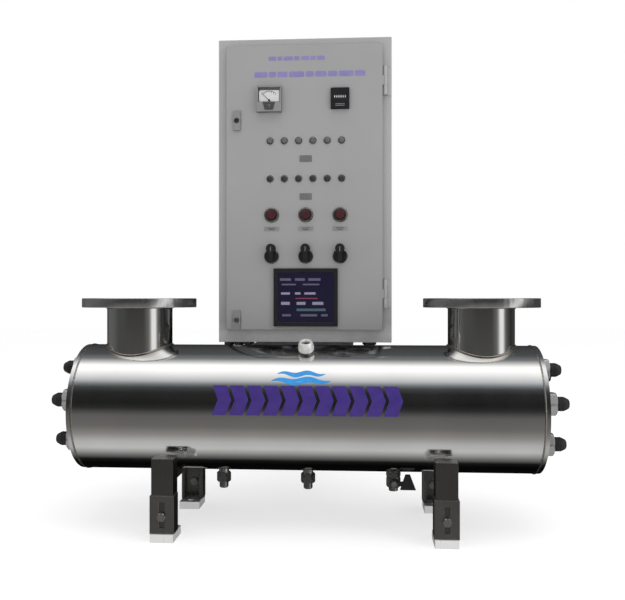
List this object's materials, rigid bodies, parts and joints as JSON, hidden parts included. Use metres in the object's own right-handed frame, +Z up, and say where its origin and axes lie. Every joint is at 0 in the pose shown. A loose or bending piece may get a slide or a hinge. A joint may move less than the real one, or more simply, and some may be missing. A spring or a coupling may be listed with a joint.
{
  "type": "ultraviolet water clarifier",
  "caption": "Horizontal stainless ultraviolet water clarifier with two flanged ports, lamp sleeves through both ends, and a control cabinet with a hinged door behind it.",
  "frame": {"origin": "on the floor under the middle of the chamber, at the centre of the four anchor holes", "axes": "+X along the chamber towards the outlet port, -Y towards the front (cabinet door, lever), +Z up along the ports"},
  "size_m": [0.866, 0.4564, 0.907],
  "materials": {
    "stainless_polished": "polished",
    "stainless_satin": "satin",
    "zinc_plate": "satin",
    "cabinet_paint": "fine texture",
    "quartz": "clear",
    "window_glass": "clear",
    "lamp_glass": "frosted",
    "ceramic": "matt",
    "black_rubber": "matt",
    "cable_sheath": "matt",
    "black_plastic": "satin",
    "grey_plastic": "matt",
    "white_plastic": "matt",
    "green_plastic": "matt",
    "red_plastic": "gloss",
    "lamp_lens": "gloss",
    "screen": "gloss"
  },
  "bodies": {
    "root": {"chamber_shell": "stainless_polished", "end_plates": "stainless_polished", "port_necks": "stainless_polished", "inlet_flange": "stainless_satin", "outlet_flange": "stainless_satin", "port_sockets": "stainless_satin", "lamp_sockets": "stainless_satin", "gland_nuts": "stainless_satin", "sleeve_seals": "black_rubber", "quartz_sleeves": "quartz", "uv_lamps": "lamp_glass", "lamp_bases": "ceramic", "lamp_boots": "black_rubber", "sleeve_caps": "black_rubber", "lamp_leads": "cable_sheath", "sight_lens": "window_glass", "sight_ring": "stainless_polished", "port_plugs": "stainless_satin", "valve_body": "stainless_satin", "saddle_plates": "stainless_satin", "legs": "stainless_satin", "foot_shoes": "stainless_satin", "frame_bolts": "zinc_plate", "cabinet_bracket": "stainless_satin", "cabinet_body": "cabinet_paint", "cable_glands": "black_plastic", "mounting_plate": "zinc_plate", "ballasts": "white_plastic", "din_rails": "zinc_plate", "circuit_breaker": "white_plastic", "contactor": "grey_plastic", "terminal_blocks": "grey_plastic", "wire_duct": "grey_plastic", "hinge_leaves_fixed": "zinc_plate", "hinge_pins": "zinc_plate"},
    "door": {"door_panel": "cabinet_paint", "door_gasket": "black_rubber", "hinge_leaves_door": "zinc_plate", "lock_housings": "black_plastic", "meter_case": "black_plastic", "meter_window": "window_glass", "hour_meter": "black_plastic", "indicator_bezels": "grey_plastic", "indicator_lenses": "lamp_lens", "switch_bezels": "grey_plastic", "contact_blocks": "green_plastic", "display_case": "black_plastic", "display_screen": "screen"},
    "valve_handle": {"valve_ball": "stainless_polished", "valve_lever": "black_plastic", "lever_nut": "zinc_plate"},
    "lock_upper": {"lock_upper": "zinc_plate"},
    "lock_lower": {"lock_lower": "zinc_plate"},
    "meter_needle": {"meter_needle": "black_plastic"},
    "button_left": {"button_left": "red_plastic"},
    "selector_left": {"selector_left": "black_plastic"},
    "button_middle": {"button_middle": "red_plastic"},
    "selector_middle": {"selector_middle": "black_plastic"},
    "button_right": {"button_right": "red_plastic"},
    "selector_right": {"selector_right": "black_plastic"}
  },
  "joints": [
    {"name": "door_hinge", "type": "hinge", "parent": "root", "child": "door", "pos_m": [0.14, 0.138, 0.61], "axis": [0, 0, 1], "range_deg": [0, 90]},
    {"name": "valve_turn", "type": "hinge", "parent": "root", "child": "valve_handle", "pos_m": [0.15, 0, 0.07595], "axis": [0, 1, 0], "range_deg": [0, 90]},
    {"name": "needle_swing", "type": "hinge", "parent": "door", "child": "meter_needle", "pos_m": [-0.084, 0.117, 0.78], "axis": [0, 1, 0], "range_deg": [0, 90]},
    {"name": "lock_upper_turn", "type": "hinge", "parent": "door", "child": "lock_upper", "pos_m": [-0.148, 0.127, 0.743], "axis": [0, -1, 0], "range_deg": [0, 90]},
    {"name": "lock_lower_turn", "type": "hinge", "parent": "door", "child": "lock_lower", "pos_m": [-0.148, 0.127, 0.355], "axis": [0, -1, 0], "range_deg": [0, 90]},
    {"name": "button_left_push", "type": "slide", "parent": "door", "child": "button_left", "axis": [0, 1, 0], "range_m": [0, 0.004]},
    {"name": "selector_left_turn", "type": "hinge", "parent": "door", "child": "selector_left", "pos_m": [-0.08, 0.127, 0.479], "axis": [0, 1, 0], "range_deg": [-45, 45]},
    {"name": "button_middle_push", "type": "slide", "parent": "door", "child": "button_middle", "axis": [0, 1, 0], "range_m": [0, 0.004]},
    {"name": "selector_middle_turn", "type": "hinge", "parent": "door", "child": "selector_middle", "pos_m": [-0.0135, 0.127, 0.479], "axis": [0, 1, 0], "range_deg": [-45, 45]},
    {"name": "button_right_push", "type": "slide", "parent": "door", "child": "button_right", "axis": [0, 1, 0], "range_m": [0, 0.004]},
    {"name": "selector_right_turn", "type": "hinge", "parent": "door", "child": "selector_right", "pos_m": [0.053, 0.127, 0.479], "axis": [0, 1, 0], "range_deg": [-45, 45]}
  ]
}
